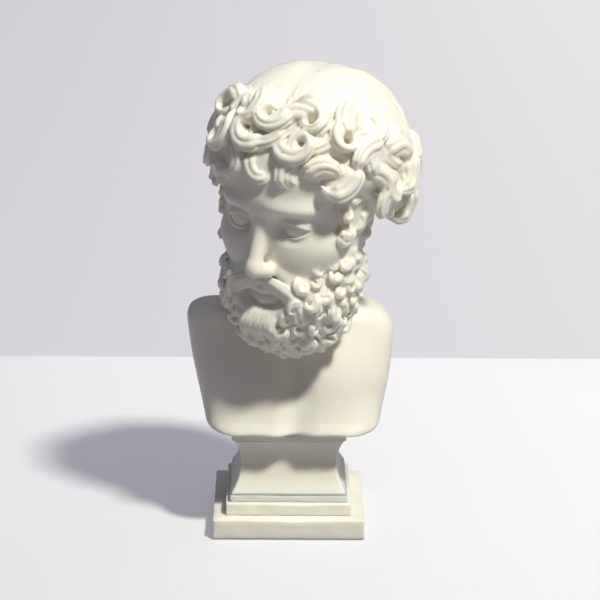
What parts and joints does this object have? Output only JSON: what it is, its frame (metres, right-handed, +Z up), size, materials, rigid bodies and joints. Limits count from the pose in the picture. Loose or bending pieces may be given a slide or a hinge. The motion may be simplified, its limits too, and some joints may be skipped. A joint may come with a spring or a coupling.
{
  "type": "desk bust",
  "caption": "Pale cast-stone desk bust of a bearded, curly-haired man on a stepped square socle; the head and shoulders turn on a hidden central rod.",
  "frame": {"origin": "middle of the felt pad's underside, on the rod's axis, level with the surface that the bust stands on", "axes": "+Z up; the front of the bust faces -Y, so +X is to the viewer's right"},
  "size_m": [0.0767, 0.0719, 0.1559],
  "materials": {
    "marble": "matte to satin cast marble",
    "brass": "turned",
    "steel": "zinc plated",
    "nylon": "matte",
    "felt": "felt"
  },
  "bodies": {
    "socle": {"plinth": "marble", "lower_step": "marble", "upper_step": "marble", "socle_waist": "marble", "socle_cap": "marble", "guide_bush": "brass", "turning_washer": "nylon", "flat_washer": "steel", "felt_pad": "felt"},
    "bust": {"bust": "marble", "bust_insert": "brass", "tie_rod": "steel", "spring_washer": "steel", "nut": "steel"}
  },
  "joints": [
    {"name": "bust_turn", "type": "hinge", "parent": "socle", "child": "bust", "pos_m": [0, 0, 0.036], "axis": [0, 0, 1], "continuous": true}
  ]
}
